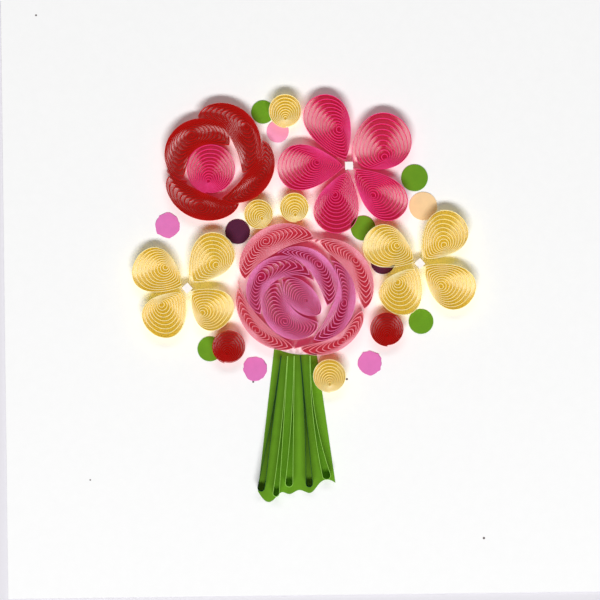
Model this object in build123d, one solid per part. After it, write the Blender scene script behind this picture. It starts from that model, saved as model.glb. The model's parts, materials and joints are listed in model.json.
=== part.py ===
from build123d import *
from dataclasses import dataclass
from itertools import product
import os
import numpy as np

# A bouquet of quilled paper strips on a square card, in millimetres and degrees. The card lies on its back:
# +Z points out of its front, +Y up the bouquet, and the origin is the middle of its back face.
# A place on the card is a complex number, x + y * 1j.

# Card and papers
CARD_SIDE = 152.4
CARD_THICKNESS = 0.4
STRIP_HEIGHT = 3.0
STRIP_THICKNESS = 0.1
DOT_THICKNESS = 0.2
STEM_SHEET_THICKNESS = 0.2

# Air between the turns of one strip, and between neighbouring pieces
TURN_GAP = 0.03
TURN_PITCH = STRIP_THICKNESS + TURN_GAP
GLUE_GAP = 0.12
SLIDE_STEP = 0.05

# How a strip coils: the hole in its eye, how far in the turns lose their pinched ends, how much wider apart
# they lie further out, and how suddenly they leave the flanks that they gather at
EYE_RADIUS = 0.35
ROUNDED_BY = 0.8
OPENING = 0.3
GATHERING_POWER = 3

# Square posts in the middle of the teardrop flowers
CENTRE_SIDE = 2.0
CENTRE_HEIGHT = 2.6

# Point that the flowers are pushed away from, and the middles of the flowers
BOUQUET_HEART = 2.0 + 14.0j
ROSE_PLACE = -0.6 - 0.5j
RED_PLACE = -23.1 + 32.4j
MAGENTA_PLACE = 11.7 + 32.6j
LEFT_YELLOW_PLACE = -29.7 + 2.1j
RIGHT_YELLOW_PLACE = 29.3 + 7.6j

# How an end is shaped: 1 is round, and more draws it out to a sharper tip
ROUND_END = 1.0

# Teardrop petals: direction of the far end, length, width, tip, eye along and across, turns
MAGENTA_PETALS = [
    (115, 19.0, 11.8, 2.0, 0.44, -0.33, 10),
    (35, 17.3, 14.6, 1.5, 0.44, -0.52, 9),
    (181, 17.6, 12.0, 2.0, 0.36, -0.24, 12),
    (-107, 17.0, 11.8, 2.0, 0.38, -0.30, 11),
    (-43, 17.8, 10.7, 2.0, 0.42, -0.42, 11),
]
LEFT_YELLOW_PETALS = [
    (151, 14.3, 12.0, 1.9, 0.41, -0.42, 10),
    (52, 15.7, 11.2, 1.9, 0.52, -0.45, 9),
    (-130, 13.9, 11.6, 1.9, 0.43, -0.51, 9),
    (-40, 12.8, 11.4, 1.9, 0.47, -0.46, 9),
]
RIGHT_YELLOW_PETALS = [
    (153, 14.9, 11.2, 1.9, 0.33, -0.41, 9),
    (49, 15.3, 11.6, 1.9, 0.35, -0.42, 9),
    (-122, 13.7, 11.6, 1.9, 0.41, -0.51, 9),
    (-36, 15.5, 11.6, 1.9, 0.43, -0.32, 10),
]
MAGENTA_CENTRE_TURN = 0
YELLOW_CENTRE_TURN = 40

# Bent petals, from the middle of their flower: start, end, bend to the left, width, tips at start and end,
# eye along and across, turns
RED_PETALS = [
    (-6.3 - 3.2j, 4.8 + 5.2j, 8.0, 8.6, 1.5, 1.6, 0.54, 0.10, 10),
    (-3.3 + 13.2j, 7.2 - 1.8j, 6.8, 8.0, 1.4, 1.6, 0.50, 0.40, 10),
    (12.8 + 6.9j, 1.8 - 7.6j, 4.7, 6.5, 1.3, 1.6, 0.48, 0.28, 10),
    (-11.4 - 0.4j, 7.3 - 9.0j, -4.65, 7.4, 1.4, 1.5, 0.56, -0.11, 10),
]
ROSE_CORE_PETALS = [
    (-4.3 + 5.1j, 4.8 - 4.4j, -0.6, 7.0, 1.3, 1.3, 0.62, 0.05, 11),
    (-4.9 + 4.5j, 4.4 - 6.3j, -6.7, 7.6, 1.35, 1.35, 0.56, 0.0, 12),
]
ROSE_RING_PETALS = [
    (3.1 + 4.0j, -10.2 - 4.7j, -8.35, 6.3, 1.8, 1.5, 0.61, -0.12, 10),
    (-6.2 + 11.1j, 6.1 - 2.9j, 5.7, 5.6, 1.9, 1.5, 0.49, 0.1, 11),
    (7.5 + 9.1j, 2.1 - 11.0j, 5.7, 6.0, 1.5, 1.5, 0.47, 0.0, 11),
]
ROSE_OUTER_PETALS = [
    (4.2 + 14.6j, -14.4 + 4.0j, -5.75, 7.0, 1.5, 1.2, 0.54, -0.15, 12),
    (3.5 + 13.7j, 15.4 - 4.0j, 5.0, 6.0, 1.4, 1.4, 0.45, 0.28, 11),
    (-16.2 + 4.2j, -1.5 - 12.9j, -4.2, 5.0, 1.9, 1.5, 0.55, -0.2, 9),
    (-2.3 - 13.0j, 15.4 - 3.0j, -4.1, 4.4, 1.5, 1.3, 0.57, -0.2, 8),
]

# Round coils: diameter, eye from the middle, turns; loose ones also their middle and the way they give
RED_CENTRE_COIL = (12.9, -0.8 - 3.4j, 11)
YELLOW_COILS = [
    (8.8, -2.2j, 9, -4.2 + 46.9j, 100),
    (7.9, 0.9 - 1.3j, 8, -12.1 + 20.4j, 28),
    (7.9, 0.2 - 2.1j, 8, -2.2 + 22.4j, 180),
    (8.9, -2.7j, 9, 6.2 - 20.4j, 0),
]
RED_COILS = [
    (8.9, -0.6 - 1.9j, 9, -19.2 - 12.8j, -140),
    (9.0, -1.8j, 9, 20.9 - 8.8j, -60),
]

# Punched and hand-cut paper dots: middle and diameter
GREEN_DOTS = [
    (-10.0 + 46.6j, 5.9),
    (28.3 + 29.4j, 6.8),
    (15.1 + 16.8j, 6.3),
    (29.5 - 7.1j, 6.3),
    (-24.2 - 13.4j, 6.3),
]
PURPLE_DOTS = [
    (-16.8 + 16.3j, 6.3),
    (20.0 + 8.1j, 6.1),
]
VIOLET_DOTS = [
    (-34.6 + 18.1j, 6.2),
    (-12.8 - 18.6j, 6.1),
    (16.4 - 17.5j, 6.0),
]
PINK_DOTS = [(-6.3 + 41.6j, 5.6)]
PEACH_DOTS = [(30.4 + 22.2j, 7.1)]

# Stem sheet: middle of its top edge, its widths, how high its foot is notched between two loops
STEM_PLACE = -2.6 - 15.4j
STEM_TOP_WIDTH = 10.4
STEM_FOOT_WIDTH = 19.7
STEM_NOTCH = 0.9
STEM_TUCK = 2.5

# Stem loops: share of the way across the top and foot, length, mouth, bend, sheet left past the loop's end
STEM_LOOPS = [
    (0.16, 0.035, 34.2, 1.9, 0.2, 0.1),
    (0.32, 0.23, 35.6, 1.7, 0.2, 0.3),
    (0.48, 0.40, 33.2, 2.0, 0.2, 1.9),
    (0.63, 0.665, 33.3, 1.8, 0.2, 1.6),
    (0.865, 0.90, 31.4, 2.2, -1.1, 1.0),
]

# Fineness of the curves, the angles and shares of the way in that a roll is measured at, how far from its
# tips, the steps that an eye is drawn in by, and how closely its turns may gather
POINTS_PER_HALF_TURN = 8
ROUND = np.linspace(0, 2 * np.pi, 240, endpoint=False)
SHARES = np.linspace(0, 0.98, 15)
NUDGE = 0.01
TIP_ANGLE = np.radians(15)
EYE_STEPS = np.linspace(0, 1, 9)
GATHERINGS = np.linspace(0.1, 0.9, 9)

# How often a roll is pressed into place among its neighbours, and how many of its points a dent spreads over
PRESSINGS = 40
POINTS_PER_DENT = 49
DENT_SPREAD = np.hanning(POINTS_PER_DENT) / (POINTS_PER_DENT // 2)


def bend_to_arc(points, start, end, bend):
    """Carries points along and across a straight spine to the arc that runs from start to end."""
    chord = end - start
    half_angle = 2 * np.arctan(2 * bend / abs(chord))
    heading = chord / abs(chord) * np.exp(1j * half_angle)
    if bend == 0:
        return start + heading * points
    radius = abs(chord) / (2 * np.sin(half_angle))
    swing = np.exp(-1j * points.real / radius)
    return start + 1j * heading * ((radius + points.imag) * swing - radius)


def arc_length(start, end, bend):
    """Length of the arc from start to end whose middle stands off their straight line by bend."""
    chord = abs(end - start)
    half_angle = 2 * np.arctan(2 * bend / chord)
    return chord if bend == 0 else chord * half_angle / np.sin(half_angle)


def spline(points):
    """A smooth edge through plan points."""
    return Spline(*[(point.real, point.imag) for point in points])


def straight(first, second):
    """A straight edge between two plan points."""
    return Line((first.real, first.imag), (second.real, second.imag))


class Piece:
    """A named piece with its outline in plan, slid about until it has its place."""
    offset = 0j

    def plan(self):
        return self.outline() + self.offset

    def away(self):
        """Direction from the middle of its flower to the middle of the piece."""
        middle = self.outline().mean()
        return middle / abs(middle)


def profile(angle, start_tip, end_tip):
    """Share of a roll's half width at an angle round its outline, 1 where the roll is widest."""
    both = start_tip + end_tip
    widest = np.sqrt(start_tip ** start_tip * end_tip ** end_tip / both ** both)
    return np.abs(np.sin(angle / 2)) ** start_tip * np.abs(np.cos(angle / 2)) ** end_tip / widest


@dataclass
class Roll(Piece):
    """One strip coiled up loosely and pinched to a point, or left round, at its start and its end."""
    name: str
    start: complex
    end: complex
    bend: float
    width: float
    start_tip: float
    end_tip: float
    eye_along: float
    eye_across: float
    turns: int

    def __post_init__(self):
        self.turns = int(self.turns)
        self.dents = np.zeros(len(ROUND), complex)
        self.wind()

    def kept(self, share):
        """How much of the outline's length and width a turn has at a share of the way in to the eye."""
        length = arc_length(self.start, self.end, self.bend)
        kept_length = (1 - share) * (1 - OPENING * share)
        flanks = self.width * (1 - self.gathering * share)
        free = length * kept_length
        crowded = flanks ** GATHERING_POWER * (1 - kept_length ** GATHERING_POWER) + free ** GATHERING_POWER
        return kept_length, free * flanks / crowded ** (1 / GATHERING_POWER) / self.width

    def straight_loop(self, angle, share):
        """Points of the roll before it is bent, from its outline at share 0 to its eye at share 1."""
        sharp = 1 - np.minimum(share / ROUNDED_BY, 1)
        start_tip = ROUND_END + (self.start_tip - ROUND_END) * sharp
        end_tip = ROUND_END + (self.end_tip - ROUND_END) * sharp
        side = np.sign(np.sin(angle)) * profile(angle, start_tip, end_tip)
        length, width = self.kept(share)
        ring = EYE_RADIUS * (np.sin(angle) * (1 - width) * 1j - np.cos(angle) * (1 - length))
        along = length * (1 - np.cos(angle)) / 2 + (1 - length) * self.eye_along
        across = width * side + (1 - width) * self.eye_across
        dents = np.interp(angle, ROUND, self.dents, period=2 * np.pi)
        dented = length * dents.real + width * dents.imag * 1j
        spine = arc_length(self.start, self.end, self.bend) * along
        return spine + self.width / 2 * across * 1j + ring + dented

    def bent(self, points):
        return bend_to_arc(points, self.start, self.end, self.bend)

    def loop(self, angle, share):
        return self.bent(self.straight_loop(angle, share))

    def outline(self):
        """The strip's first turn, which starts on the roll's full size and winds in from there."""
        return self.loop(ROUND, ROUND / (2 * np.pi * self.turns))

    def press(self, others):
        """Dents the outline where it would lie over pieces set before it, as a soft roll gives way."""
        for pressing in range(PRESSINGS):
            push = sum(way_out(self.outline(), other.outline()) for other in others)
            if not push.any():
                break
            points = self.straight_loop(ROUND, ROUND / (2 * np.pi * self.turns))
            heading = self.bent(points + NUDGE) - self.bent(points)
            push = push * heading.conj() / abs(heading)
            self.dents += np.convolve(np.pad(push, POINTS_PER_DENT // 2, "wrap"), DENT_SPREAD, "valid")

    def closing(self, angle, share):
        """How fast the turns close in, square to themselves, on the way to the eye."""
        tangent = self.loop(angle + NUDGE, share) - self.loop(angle - NUDGE, share)
        inward = -1j * tangent / abs(tangent)
        step = self.loop(angle, share + NUDGE) - self.loop(angle, share)
        return (step * inward.conj()).real / NUDGE

    def inner_share(self, angle, share):
        """Share of the way in at which the strip's inner face lies, at points of its outer face."""
        from_tip = (angle + np.pi / 2) % np.pi - np.pi / 2
        tip = angle - from_tip
        blend = np.clip((from_tip / TIP_ANGLE + 1) / 2, 0, 1)
        reached = share
        for part_way in (0.5, 1):
            before = self.closing(tip + np.minimum(from_tip, -TIP_ANGLE), reached)
            after = self.closing(tip + np.maximum(from_tip, TIP_ANGLE), reached)
            reached = share + part_way * STRIP_THICKNESS / (before + (after - before) * blend)
        return reached

    def room(self, eye, drawn, gathering):
        """Room for the turns on their tightest side, with the eye drawn in towards the roll's widest part."""
        widest = self.start_tip / (self.start_tip + self.end_tip)
        place = eye + (widest - eye) * drawn
        self.eye_along, self.eye_across, self.gathering = place.real, place.imag, gathering
        flank = np.linspace(TIP_ANGLE, np.pi - TIP_ANGLE, len(ROUND) // 4)
        angle = np.concatenate([flank, flank + np.pi])[:, None]
        return self.closing(angle, SHARES).min()

    def wind(self):
        """Finds how closely the turns can gather, the eye drawn in from its flank where they need room."""
        eye = self.eye_along + 1j * self.eye_across
        ways = list(product(EYE_STEPS, GATHERINGS))
        for way in ways:
            if self.room(eye, *way) >= self.turns * TURN_PITCH:
                return
        roomiest = max(ways, key=lambda way: self.room(eye, *way))
        self.turns = max(int(self.room(eye, *roomiest) / TURN_PITCH), 1)

    def solid(self):
        outer, inner = [], []
        for half in range(2 * self.turns):
            wound = np.linspace(half, half + 1, POINTS_PER_HALF_TURN) / 2
            angle = 2 * np.pi * (wound - half // 2)
            share = wound / self.turns
            outer.append(self.loop(angle, share))
            inner.append(self.loop(angle, self.inner_share(angle, share)))
        edges = [spline(points) for points in outer + inner]
        edges.append(straight(outer[0][0], inner[0][0]))
        edges.append(straight(outer[-1][-1], inner[-1][-1]))
        return extrude(make_face(edges), STRIP_HEIGHT)


@dataclass
class Dot(Piece):
    """A flat round dot of paper."""
    name: str
    middle: complex
    diameter: float
    thickness = DOT_THICKNESS

    def outline(self):
        return self.middle + self.diameter / 2 * np.exp(1j * ROUND)

    def solid(self):
        disc = Pos(self.middle.real, self.middle.imag) * Circle(self.diameter / 2)
        return extrude(disc, DOT_THICKNESS)


@dataclass
class CentrePost(Piece):
    """A small square post that petal tips are glued to."""
    name: str
    turn: float

    def outline(self):
        corner = np.exp(1j * np.radians(self.turn + 45)) * CENTRE_SIDE / np.sqrt(2)
        return corner * np.array([1, 1j, -1, -1j])

    def solid(self):
        return extrude(Rot(0, 0, self.turn) * Rectangle(CENTRE_SIDE, CENTRE_SIDE), CENTRE_HEIGHT)


@dataclass
class StemLoop(Piece):
    """A strip doubled back on itself: two legs together at the top, apart at the foot, and a round end."""
    name: str
    top: complex
    foot: complex
    mouth: float
    bend: float

    def side(self, inset):
        """One leg's face in straightened form, from the top to where the round end starts."""
        length = arc_length(self.top, self.foot, self.bend) - self.mouth / 2
        share = np.linspace(0, 1, POINTS_PER_HALF_TURN)
        closed = TURN_GAP / 2 + STRIP_THICKNESS
        return length * share + 1j * (closed + (self.mouth / 2 - closed) * share ** 2 - inset)

    def end_crown(self, inset):
        return arc_length(self.top, self.foot, self.bend) - inset + 0j

    def bent(self, points):
        return bend_to_arc(points, self.top, self.foot, self.bend)

    def outline(self):
        left = self.side(0)
        ring = left[-1].real - 1j * self.mouth / 2 * np.exp(1j * np.linspace(np.pi, 0, 9)[1:-1])
        return self.bent(np.concatenate([left, ring, left[::-1].conj()]))

    def face_edges(self, inset):
        """The loop's outer face, or its inner face at an inset of the strip's thickness."""
        left = self.side(inset)
        legs = [self.bent(left), self.bent(left.conj())]
        crown = self.bent(np.array([self.end_crown(inset)]))[0]
        ends = [(point.real, point.imag) for point in (legs[0][-1], crown, legs[1][-1])]
        return [spline(legs[0]), spline(legs[1]), ThreePointArc(*ends)]

    def solid(self):
        tops = [self.bent(self.side(inset)[:1])[0] for inset in (0, STRIP_THICKNESS)]
        mirrored = [self.bent(self.side(inset)[:1].conj())[0] for inset in (0, STRIP_THICKNESS)]
        edges = self.face_edges(0) + self.face_edges(STRIP_THICKNESS)
        edges += [straight(*tops), straight(*mirrored)]
        return extrude(make_face(edges), STRIP_HEIGHT)


class StemSheet(Piece):
    """The green sheet under the stem's loops, cut in lobes round their ends."""
    name = "stem_sheet"
    thickness = STEM_SHEET_THICKNESS

    def __init__(self, loops, tails):
        lobes = [loop.foot - 1j * tail for loop, tail in zip(loops, tails)]
        top_left = STEM_TUCK * 1j - STEM_TOP_WIDTH / 2
        foot_left = lobes[0].imag * 1j - STEM_FOOT_WIDTH / 2
        foot_right = lobes[-1].imag * 1j + STEM_FOOT_WIDTH / 2
        wave = [foot_left]
        for lobe, after in zip(lobes[1:-1], lobes[2:]):
            wave += [lobe, (lobe + after) / 2 + STEM_NOTCH * 1j]
        self.wave = wave + [foot_right]
        self.top = [top_left, top_left + STEM_TOP_WIDTH]

    def outline(self):
        return np.array([*self.top[::-1], *self.wave])

    def solid(self):
        edges = [straight(*self.top), straight(self.top[0], self.wave[0]), spline(self.wave)]
        edges.append(straight(self.wave[-1], self.top[1]))
        return extrude(make_face(edges), STEM_SHEET_THICKNESS)


def from_nearest(points, outline):
    """For each point, the way to it from the nearest place on a closed outline."""
    run = np.roll(outline, -1) - outline
    reach = points[:, None] - outline[None, :]
    share = np.clip((reach * run.conj()).real / abs(run) ** 2, 0, 1)
    reach = reach - share * run
    return reach[np.arange(len(points)), abs(reach).argmin(axis=1)]


def holds(outline, points):
    """Whether a closed outline goes round each of the points."""
    spokes = outline[None, :] - points[:, None]
    return abs(np.angle(np.roll(spokes, -1, axis=1) / spokes).sum(axis=1)) > np.pi


def way_out(points, outline):
    """The way that each point has to go to clear a closed outline by the glue gap."""
    reach = from_nearest(points, outline)
    inside = holds(outline, points)
    depth = GLUE_GAP + np.where(inside, abs(reach), -abs(reach))
    return np.where(inside, -1, 1) * reach / abs(reach) * np.maximum(depth, 0)


def meet(first, second):
    """Whether two pieces come closer in plan than the glue gap, or lie over each other."""
    one, other = first.plan(), second.plan()
    reach = abs(one - one.mean()).max() + abs(other - other.mean()).max() + GLUE_GAP
    if abs(one.mean() - other.mean()) > reach:
        return False
    if min(abs(from_nearest(one, other)).min(), abs(from_nearest(other, one)).min()) < GLUE_GAP:
        return True
    return bool(holds(one, other[:1])[0] or holds(other, one[:1])[0])


def move(pieces, shift):
    for piece in pieces:
        piece.offset += shift


def settle(pieces, others, direction):
    """Slides pieces along a direction until they are clear of all the others."""
    while any(meet(piece, other) for piece in pieces for other in others):
        move(pieces, SLIDE_STEP * direction)


def gather(pieces):
    """Sets a flower's pieces round its middle, each pressed in among the earlier ones and clear of them."""
    for count, piece in enumerate(pieces[1:], 1):
        piece.press(pieces[:count])
        piece.wind()
        settle([piece], pieces[:count], piece.away())
    return pieces


def lay(pieces, place, laid, toward=None):
    """Moves a group to its place on the card, and on until it clears what is laid.

    It gives way in the direction named, or else away from the heart of the bouquet."""
    outwards = place - BOUQUET_HEART if toward is None else np.exp(1j * np.radians(toward))
    move(pieces, place)
    settle(pieces, laid, outwards / abs(outwards))
    laid.extend(pieces)


def teardrop_flower(name, turn, petals):
    """A square post with teardrop petals round it."""
    pieces = [CentrePost(f"{name}_flower_centre", turn)]
    for number, (toward, length, width, tip, *eye, turns) in enumerate(petals, 1):
        ray = np.exp(1j * np.radians(toward))
        start = ray * CENTRE_SIDE / 2
        end = start + ray * length
        pieces.append(Roll(f"{name}_petal_{number}", start, end, 0, width, tip, ROUND_END, *eye, turns))
    return gather(pieces)


def bent_petals(name, petals):
    """Petals bent round the middle of their flower."""
    return [Roll(f"{name}_petal_{number}", *shape) for number, shape in enumerate(petals, 1)]


def round_coil(name, diameter, eye, turns):
    """A round coil about the origin, wound from the side where its turns gather to its eye."""
    side = eye / abs(eye) * diameter / 2
    eye_along = 0.5 - abs(eye) / diameter
    return Roll(name, side, -side, 0, diameter, ROUND_END, ROUND_END, eye_along, 0, turns)


def stem():
    """The stem's loops and the sheet under them, about the middle of the sheet's top edge."""
    loops, tails = [], []
    for number, (top, foot, length, mouth, bend, tail) in enumerate(STEM_LOOPS, 1):
        top_point = (top - 0.5) * STEM_TOP_WIDTH + 0j
        foot_point = (foot - 0.5) * STEM_FOOT_WIDTH - 1j * length
        loops.append(StemLoop(f"stem_loop_{number}", top_point, foot_point, mouth, bend))
        tails.append(tail)
    return loops, StemSheet(loops, tails)


def standing_pieces(loops):
    """Every strip and post that stands on the card, in its place."""
    laid = []
    rose = bent_petals("rose_core", ROSE_CORE_PETALS)
    rose += bent_petals("rose_ring", ROSE_RING_PETALS)
    rose += bent_petals("rose_outer", ROSE_OUTER_PETALS)
    lay(gather(rose), ROSE_PLACE, laid)
    lay(loops, STEM_PLACE, laid, toward=-90)
    lay(teardrop_flower("magenta", MAGENTA_CENTRE_TURN, MAGENTA_PETALS), MAGENTA_PLACE, laid)
    red = [round_coil("red_flower_centre_coil", *RED_CENTRE_COIL)] + bent_petals("red", RED_PETALS)
    lay(gather(red), RED_PLACE, laid)
    lay(teardrop_flower("left_yellow", YELLOW_CENTRE_TURN, LEFT_YELLOW_PETALS), LEFT_YELLOW_PLACE, laid)
    lay(teardrop_flower("right_yellow", YELLOW_CENTRE_TURN, RIGHT_YELLOW_PETALS), RIGHT_YELLOW_PLACE, laid)
    for name, coils in (("yellow_coil", YELLOW_COILS), ("red_coil", RED_COILS)):
        for number, (*shape, middle, toward) in enumerate(coils, 1):
            lay([round_coil(f"{name}_{number}", *shape)], middle, laid, toward)
    return laid


def flat_pieces(sheet, loops):
    """The stem's sheet and the dots, which lie on the card under the standing pieces."""
    sheet.offset = loops[0].offset
    laid = [sheet]
    colours = {"green": GREEN_DOTS, "purple": PURPLE_DOTS, "violet": VIOLET_DOTS,
               "pink": PINK_DOTS, "peach": PEACH_DOTS}
    for colour, dots in colours.items():
        for number, (middle, diameter) in enumerate(dots, 1):
            lay([Dot(f"{colour}_dot_{number}", 0j, diameter)], middle, laid)
    return laid


def seat(piece, flats):
    """Height that a standing piece stands at: on the card, or on the paper under it."""
    under = [flat.thickness for flat in flats if meet(piece, flat)]
    return CARD_THICKNESS + max(under, default=0)


def main():
    os.makedirs("parts", exist_ok=True)
    card = Pos(0, 0, CARD_THICKNESS / 2) * Box(CARD_SIDE, CARD_SIDE, CARD_THICKNESS)
    export_step(card, "parts/card.step")
    loops, sheet = stem()
    standing = standing_pieces(loops)
    flats = flat_pieces(sheet, loops)
    heights = [CARD_THICKNESS] * len(flats) + [seat(piece, flats) for piece in standing]
    for piece, height in zip(flats + standing, heights):
        solid = Pos(piece.offset.real, piece.offset.imag, height) * piece.solid()
        export_step(solid, f"parts/{piece.name}.step")


if __name__ == "__main__":
    main()
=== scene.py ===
import bmesh
import bpy
import json
import math
from mathutils import Matrix, Vector

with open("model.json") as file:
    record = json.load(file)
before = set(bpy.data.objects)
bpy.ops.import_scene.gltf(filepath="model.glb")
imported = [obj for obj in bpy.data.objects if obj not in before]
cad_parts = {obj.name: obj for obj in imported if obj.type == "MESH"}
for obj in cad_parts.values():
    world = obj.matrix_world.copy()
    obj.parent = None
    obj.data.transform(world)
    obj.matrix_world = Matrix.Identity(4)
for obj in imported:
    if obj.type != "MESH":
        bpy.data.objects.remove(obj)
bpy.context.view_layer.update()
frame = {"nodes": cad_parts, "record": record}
nodes = frame["nodes"]

MILLIMETRE = 0.001
UP = Vector((0, 0, 1))

# Camera straight over the card, in metres and degrees: the point that it looks at, how wide the picture
# is there, how far off it stands, and how the card is turned in the picture
AIM = Vector((-0.00116, -0.00126, 0.0004))
PICTURE_WIDTH = 0.1524
CAMERA_DISTANCE = 0.9
CAMERA_ANGLE = 90.0
CAMERA_SENSOR = 36.0
CAMERA_NEAREST = 0.01
CARD_TURN = 0.713

# Long soft lamp over the foot of the bouquet, a weaker one over its head, and the even light round them
LAMP_DISTANCE = 2.2
LAMP_LENGTH = 1.6
LAMP_WIDTH = 0.47
FOOT_LAMP_ANGLE = 54.0
FOOT_LAMP_POWER = 49.0
HEAD_LAMP_ANGLE = 130.0
HEAD_LAMP_POWER = 11.0
WORLD_LIGHT = 0.08

# Noise over the papers as scale, detail and roughness, and the range that most of a noise lies in
DYE_NOISE = (420, 3, 0.6)
FIBRE_NOISE = (5200, 4, 0.7)
WEAR_NOISE = (900, 3, 0.6)
NOISE_RANGE = (0.3, 0.7)

# Fibres of the paper: how strongly they show, how high they stand, and how rough and shiny they leave it
FIBRE_RELIEF = 0.2
FIBRE_HEIGHT = 0.00003
FIBRE_ROUGHNESS = (0.78, 0.92)
PAPER_SHINE = 0.25

# Uneven dye as a share of the colour, on the coloured papers and on the card
DYE_UNEVENNESS = 0.05
CARD_UNEVENNESS = 0.008

# Cut edge of a strip, its upward top, coloured partly as the cut paper's own and partly as painted light and
# shade: how far upward a surface looks to count as one, and how much of its colour is left
EDGE_UPWARD = (0.5, 0.8)
EDGE_WEAR = (0.7, 1.0)

# Hand-cut dots: width of the waves along each axis, and how far the rim strays
HAND_CUT_DOTS = ["violet_dot_1", "violet_dot_2", "violet_dot_3"]
HAND_CUT_WAVES = {"X": 0.0011, "Y": 0.0014}
HAND_CUT_WAVER = 0.0008

# Table under the card
TABLE_SIDE = 3.0
TABLE_DROP = 0.00005
TABLE_ROUGHNESS = 0.9

# Sockets of a Mix node for its two colours and for the mixed one
MIX_FIRST = 6
MIX_SECOND = 7
MIX_RESULT = 2


def colour(red, green, blue):
    """A colour given in 0 to 255 as a monitor shows it, in the linear values that shaders take."""
    shown = [value / 255 for value in (red, green, blue)]
    linear = [v / 12.92 if v <= 0.04045 else ((v + 0.055) / 1.055) ** 2.4 for v in shown]
    return (*linear, 1.0)


BLACK = colour(0, 0, 0)
CARD_COLOUR = colour(250, 250, 250)
SPECK_COLOUR = colour(96, 84, 84)
TABLE_COLOUR = colour(228, 226, 232)


def new_group(name, inputs, outputs):
    """An empty shader node group, with its sockets given as name and kind."""
    group = bpy.data.node_groups.new(name, "ShaderNodeTree")
    for label, kind in inputs:
        group.interface.new_socket(label, in_out="INPUT", socket_type=kind)
    for label, kind in outputs:
        group.interface.new_socket(label, in_out="OUTPUT", socket_type=kind)
    return group, group.nodes.new("NodeGroupInput"), group.nodes.new("NodeGroupOutput")


def object_place(tree):
    """The place on a piece, in its own coordinates."""
    return tree.nodes.new("ShaderNodeTexCoord").outputs["Object"]


def noise(tree, where, scale, detail, roughness):
    """A noise texture on object coordinates."""
    texture = tree.nodes.new("ShaderNodeTexNoise")
    texture.inputs["Scale"].default_value = scale
    texture.inputs["Detail"].default_value = detail
    texture.inputs["Roughness"].default_value = roughness
    tree.links.new(where, texture.inputs["Vector"])
    return texture.outputs["Fac"]


def map_range(tree, value, old_range, new_range=(0, 1)):
    """Maps a value from one range to another and keeps it within that."""
    node = tree.nodes.new("ShaderNodeMapRange")
    node.inputs["From Min"].default_value, node.inputs["From Max"].default_value = old_range
    node.inputs["To Min"].default_value, node.inputs["To Max"].default_value = new_range
    tree.links.new(value, node.inputs["Value"])
    return node.outputs["Result"]


def mix_colours(tree, amount):
    """A mix of two colours, all of the second where the amount is 1. Gives both sockets and the result."""
    mix = tree.nodes.new("ShaderNodeMix")
    mix.data_type = "RGBA"
    tree.links.new(amount, mix.inputs["Factor"])
    return mix.inputs[MIX_FIRST], mix.inputs[MIX_SECOND], mix.outputs[MIX_RESULT]


def paper_grain_group():
    """Uneven dye, and the fibres of uncoated paper as a height."""
    group, start, end = new_group(
        "paper_grain",
        [("Colour", "NodeSocketColor"), ("Unevenness", "NodeSocketFloat")],
        [("Colour", "NodeSocketColor"), ("Height", "NodeSocketFloat"), ("Roughness", "NodeSocketFloat")],
    )
    where = object_place(group)
    dye = map_range(group, noise(group, where, *DYE_NOISE), NOISE_RANGE, (-1, 1))
    fibre = noise(group, where, *FIBRE_NOISE)
    tone = group.nodes.new("ShaderNodeMath")
    tone.operation = "MULTIPLY_ADD"
    tone.inputs[2].default_value = 1
    group.links.new(dye, tone.inputs[0])
    group.links.new(start.outputs["Unevenness"], tone.inputs[1])
    dyed = group.nodes.new("ShaderNodeVectorMath")
    dyed.operation = "SCALE"
    group.links.new(start.outputs["Colour"], dyed.inputs[0])
    group.links.new(tone.outputs[0], dyed.inputs["Scale"])
    group.links.new(dyed.outputs[0], end.inputs["Colour"])
    group.links.new(fibre, end.inputs["Height"])
    group.links.new(map_range(group, fibre, NOISE_RANGE, FIBRE_ROUGHNESS), end.inputs["Roughness"])
    return group


def cut_edge_and_painted_glow_group():
    """The edge of a standing strip, where the knife has opened the paper, against its dyed face. On the
    upward top the edge colour is partly the cut paper's own and partly painted light and shade.

    The third input is the colour of a painted glow on the face. It stands in for light through the thin strip
    and light bounced between its turns. The second output is that painted glow, kept to the face."""
    group, start, end = new_group(
        "cut_edge_and_painted_glow",
        [("Face", "NodeSocketColor"), ("Edge", "NodeSocketColor"), ("Light", "NodeSocketColor")],
        [("Colour", "NodeSocketColor"), ("Painted_Glow", "NodeSocketColor")],
    )
    facing = group.nodes.new("ShaderNodeSeparateXYZ")
    group.links.new(group.nodes.new("ShaderNodeNewGeometry").outputs["Normal"], facing.inputs[0])
    upward = map_range(group, facing.outputs["Z"], EDGE_UPWARD)
    worn = map_range(group, noise(group, object_place(group), *WEAR_NOISE), NOISE_RANGE, EDGE_WEAR)
    amount = group.nodes.new("ShaderNodeMath")
    amount.operation = "MULTIPLY"
    group.links.new(upward, amount.inputs[0])
    group.links.new(worn, amount.inputs[1])
    # Upward surfaces take the edge colour, partly the cut paper's own and partly painted light and shade on
    # the tops
    face, edge, edged = mix_colours(group, amount.outputs[0])
    group.links.new(start.outputs["Face"], face)
    group.links.new(start.outputs["Edge"], edge)
    group.links.new(edged, end.inputs["Colour"])
    # Painted glow: the given colour as emission on the walls and none on the upward edge, standing in for
    # light through the paper and light bounced between the turns
    light, unlit, painted_glow = mix_colours(group, upward)
    group.links.new(start.outputs["Light"], light)
    unlit.default_value = BLACK
    group.links.new(painted_glow, end.inputs["Painted_Glow"])
    return group


PAPER_GRAIN = paper_grain_group()
CUT_EDGE_AND_PAINTED_GLOW = cut_edge_and_painted_glow_group()


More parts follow.
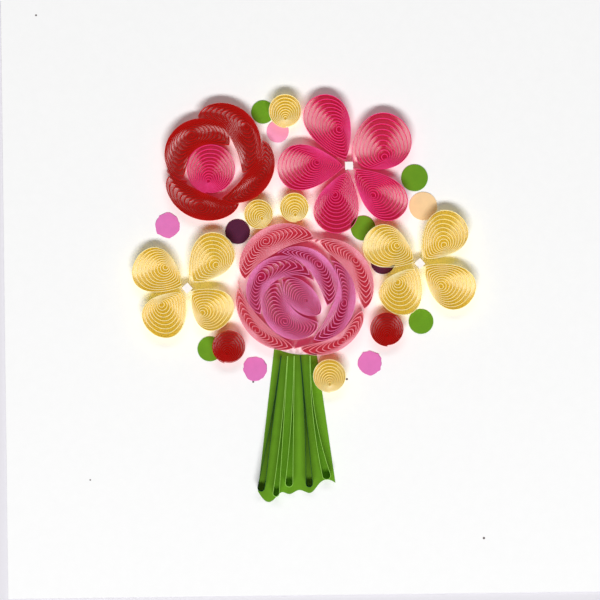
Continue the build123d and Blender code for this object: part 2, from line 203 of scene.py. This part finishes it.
def paper(name, shade, unevenness=DYE_UNEVENNESS):
    """Dyed uncoated paper."""
    material = bpy.data.materials.new(name)
    material.use_nodes = True
    tree = material.node_tree
    shader = tree.nodes["Principled BSDF"]
    shader.inputs["Specular IOR Level"].default_value = PAPER_SHINE
    grain = tree.nodes.new("ShaderNodeGroup")
    grain.name = "grain"
    grain.node_tree = PAPER_GRAIN
    grain.inputs["Colour"].default_value = shade
    grain.inputs["Unevenness"].default_value = unevenness
    relief = tree.nodes.new("ShaderNodeBump")
    relief.inputs["Strength"].default_value = FIBRE_RELIEF
    relief.inputs["Distance"].default_value = FIBRE_HEIGHT
    tree.links.new(grain.outputs["Colour"], shader.inputs["Base Color"])
    tree.links.new(grain.outputs["Roughness"], shader.inputs["Roughness"])
    tree.links.new(grain.outputs["Height"], relief.inputs["Height"])
    tree.links.new(relief.outputs["Normal"], shader.inputs["Normal"])
    return material


def strip(name, face, edge, light, glow):
    """Thin quilling strip: the colours of its face, of its cut edge (partly painted light and shade on the
    top) and of a painted glow on its face, which stands in for the light through it and the light bounced
    between its turns.

    The last argument is how strong that painted glow is, given as emission."""
    material = paper(name, colour(*face))
    tree = material.node_tree
    shader = tree.nodes["Principled BSDF"]
    cut = tree.nodes.new("ShaderNodeGroup")
    cut.node_tree = CUT_EDGE_AND_PAINTED_GLOW
    cut.inputs["Face"].default_value = colour(*face)
    cut.inputs["Edge"].default_value = colour(*edge)
    cut.inputs["Light"].default_value = colour(*light)
    tree.links.new(cut.outputs["Colour"], tree.nodes["grain"].inputs["Colour"])
    # Painted glow: emission on the strip's walls, standing in for light through the thin paper and light
    # bounced between its turns
    tree.links.new(cut.outputs["Painted_Glow"], shader.inputs["Emission Color"])
    shader.inputs["Emission Strength"].default_value = glow
    return material


# Each strip: colours of its face, of its cut edge (partly painted light and shade on the top) and of its
# painted glow, then the strength of that painted glow as emission
PAPERS = {
    "card_white": paper("card_white", CARD_COLOUR, CARD_UNEVENNESS),
    "paper_red": strip("red_strip", (200, 5, 4), (178, 4, 4), (246, 42, 22), 0.14),
    "paper_magenta": strip("magenta_strip", (226, 2, 98), (252, 88, 164), (244, 6, 106), 0.18),
    "paper_rose": strip("rose_strip", (224, 18, 114), (255, 158, 218), (238, 24, 120), 0.13),
    "paper_pink": strip("pink_strip", (238, 84, 114), (255, 184, 200), (246, 90, 120), 0.15),
    "paper_yellow": strip("yellow_strip", (252, 232, 104), (255, 251, 214), (255, 224, 90), 0.16),
    "paper_white": paper("white_post", colour(250, 244, 242)),
    "paper_leaf_green": paper("green_sheet", colour(100, 150, 26)),
    "paper_light_green": strip("light_green_strip", (126, 190, 52), (170, 220, 104), (126, 190, 52), 0.1),
    "paper_dark_green": strip("dark_green_strip", (12, 72, 48), (10, 58, 40), (12, 72, 48), 0.05),
    "paper_purple": paper("purple_dot", colour(76, 22, 56)),
    "paper_violet": paper("violet_dot", colour(222, 118, 186)),
    "paper_light_pink": paper("light_pink_dot", colour(242, 156, 194)),
    "paper_peach": paper("peach_dot", colour(242, 206, 156)),
}

# Flat papers that take the card's colour where a coil or flower goes over them: middle and radius of
# what covers them, in millimetres
TRIMMED_PAPERS = [
    ("stem_sheet", -0.6, -0.5, 14.6),
    ("stem_sheet", 6.05, -20.6, 4.1),
    ("green_dot_1", -4.35, 46.7, 4.1),
    ("pink_dot_1", -4.35, 46.7, 4.1),
    ("purple_dot_1", -11.4, 20.6, 3.65),
    ("green_dot_5", -19.4, -12.9, 4.1),
    ("green_dot_3", 20.4, 12.2, 5.4),
    ("purple_dot_2", 20.4, 12.2, 5.4),
]
TRIM_BLUR = 0.00005

# Specks of dust on the card: middle and radius, in millimetres
SPECKS = [
    (-67.3, 71.9, 0.25),
    (-55.0, -46.3, 0.2),
    (10.5, -21.5, 0.3),
    (-13.3, -21.9, 0.25),
    (44.8, -62.3, 0.3),
]
SPECK_BLUR = 0.00008


def round_mask(tree, across, up, radius, blur):
    """1 within a radius of a point of the card and 0 outside it, with the point and radius in millimetres."""
    flat = tree.nodes.new("ShaderNodeVectorMath")
    flat.operation = "MULTIPLY"
    flat.inputs[1].default_value = (1, 1, 0)
    tree.links.new(object_place(tree), flat.inputs[0])
    reach = tree.nodes.new("ShaderNodeVectorMath")
    reach.operation = "DISTANCE"
    reach.inputs[1].default_value = (across * MILLIMETRE, up * MILLIMETRE, 0)
    tree.links.new(flat.outputs[0], reach.inputs[0])
    rim = radius * MILLIMETRE
    return map_range(tree, reach.outputs["Value"], (rim + blur, rim - blur))


def lay_over(material, mask, shade):
    """Puts another colour over a paper's own, before its grain, where a mask is 1."""
    tree = material.node_tree
    before = tree.nodes["grain"].inputs["Colour"]
    own, over, mixed = mix_colours(tree, mask)
    over.default_value = shade
    if before.is_linked:
        tree.links.new(before.links[0].from_socket, own)
    else:
        own.default_value = before.default_value
    tree.links.new(mixed, before)


def dress(node, material):
    """Gives a node its material."""
    node.data.materials.clear()
    node.data.materials.append(material)


def roughen(node):
    """Wavers the rim of a dot that was cut out by hand."""
    for direction, width in HAND_CUT_WAVES.items():
        waver = bpy.data.textures.new(f"{node.name}_rim_{direction}", "CLOUDS")
        waver.noise_scale = width
        modifier = node.modifiers.new(f"hand_cut_{direction}", "DISPLACE")
        modifier.texture = waver
        modifier.texture_coords = "LOCAL"
        modifier.direction = direction
        modifier.strength = HAND_CUT_WAVER


for part in frame["record"]["subparts"]:
    dress(nodes[part["node"]], PAPERS[part["material_slot"]])

for name, *cover in TRIMMED_PAPERS:
    trimmed = nodes[name].data.materials[0].copy()
    lay_over(trimmed, round_mask(trimmed.node_tree, *cover, TRIM_BLUR), CARD_COLOUR)
    dress(nodes[name], trimmed)

card = PAPERS["card_white"]
for speck in SPECKS:
    lay_over(card, round_mask(card.node_tree, *speck, SPECK_BLUR), SPECK_COLOUR)

for name in HAND_CUT_DOTS:
    roughen(nodes[name])


def lay_table():
    """A plain pale table under the card."""
    mesh = bmesh.new()
    bmesh.ops.create_grid(mesh, x_segments=1, y_segments=1, size=TABLE_SIDE / 2)
    bmesh.ops.translate(mesh, vec=-TABLE_DROP * UP, verts=mesh.verts)
    data = bpy.data.meshes.new("table")
    mesh.to_mesh(data)
    mesh.free()
    floor = bpy.data.objects.new("table", data)
    bpy.context.scene.collection.objects.link(floor)
    material = bpy.data.materials.new("table_top")
    material.use_nodes = True
    shader = material.node_tree.nodes["Principled BSDF"]
    shader.inputs["Base Color"].default_value = TABLE_COLOUR
    shader.inputs["Roughness"].default_value = TABLE_ROUGHNESS
    data.materials.append(material)


def picture_up():
    """The card's direction that points up in the picture."""
    turn = math.radians(CARD_TURN)
    return Vector((math.sin(turn), math.cos(turn), 0))


def stand_off(angle, distance):
    """A place at an angle above the card, counted from the foot of the picture over to its head."""
    rise = math.radians(angle)
    return AIM + distance * (math.sin(rise) * UP - math.cos(rise) * picture_up())


def face_aim(thing, place):
    """Sets a camera or lamp at a place and points it at the aim, upright in the picture."""
    back = (place - AIM).normalized()
    right = picture_up().cross(UP)
    above = back.cross(right)
    turn = Matrix((right, above, back)).transposed().to_4x4()
    thing.matrix_world = Matrix.Translation(place) @ turn


def set_camera():
    """The camera over the card, with the lens that fits the picture's width."""
    data = bpy.data.cameras.new("camera")
    data.sensor_width = CAMERA_SENSOR
    data.lens = CAMERA_SENSOR * CAMERA_DISTANCE / PICTURE_WIDTH
    data.clip_start = CAMERA_NEAREST
    camera = bpy.data.objects.new("camera", data)
    bpy.context.scene.collection.objects.link(camera)
    face_aim(camera, stand_off(CAMERA_ANGLE, CAMERA_DISTANCE))
    bpy.context.scene.camera = camera


def add_lamp(name, angle, power):
    """A long soft lamp, set across the picture."""
    data = bpy.data.lights.new(name, "AREA")
    data.shape = "RECTANGLE"
    data.size = LAMP_LENGTH
    data.size_y = LAMP_WIDTH
    data.energy = power
    lamp = bpy.data.objects.new(name, data)
    bpy.context.scene.collection.objects.link(lamp)
    face_aim(lamp, stand_off(angle, LAMP_DISTANCE))


def set_light():
    """Both lamps and an even white room."""
    add_lamp("foot_lamp", FOOT_LAMP_ANGLE, FOOT_LAMP_POWER)
    add_lamp("head_lamp", HEAD_LAMP_ANGLE, HEAD_LAMP_POWER)
    world = bpy.data.worlds.new("room")
    world.use_nodes = True
    background = world.node_tree.nodes["Background"]
    background.inputs["Color"].default_value = (1, 1, 1, 1)
    background.inputs["Strength"].default_value = WORLD_LIGHT
    bpy.context.scene.world = world


lay_table()
set_camera()
set_light()
bpy.context.scene.view_settings.view_transform = "Standard"
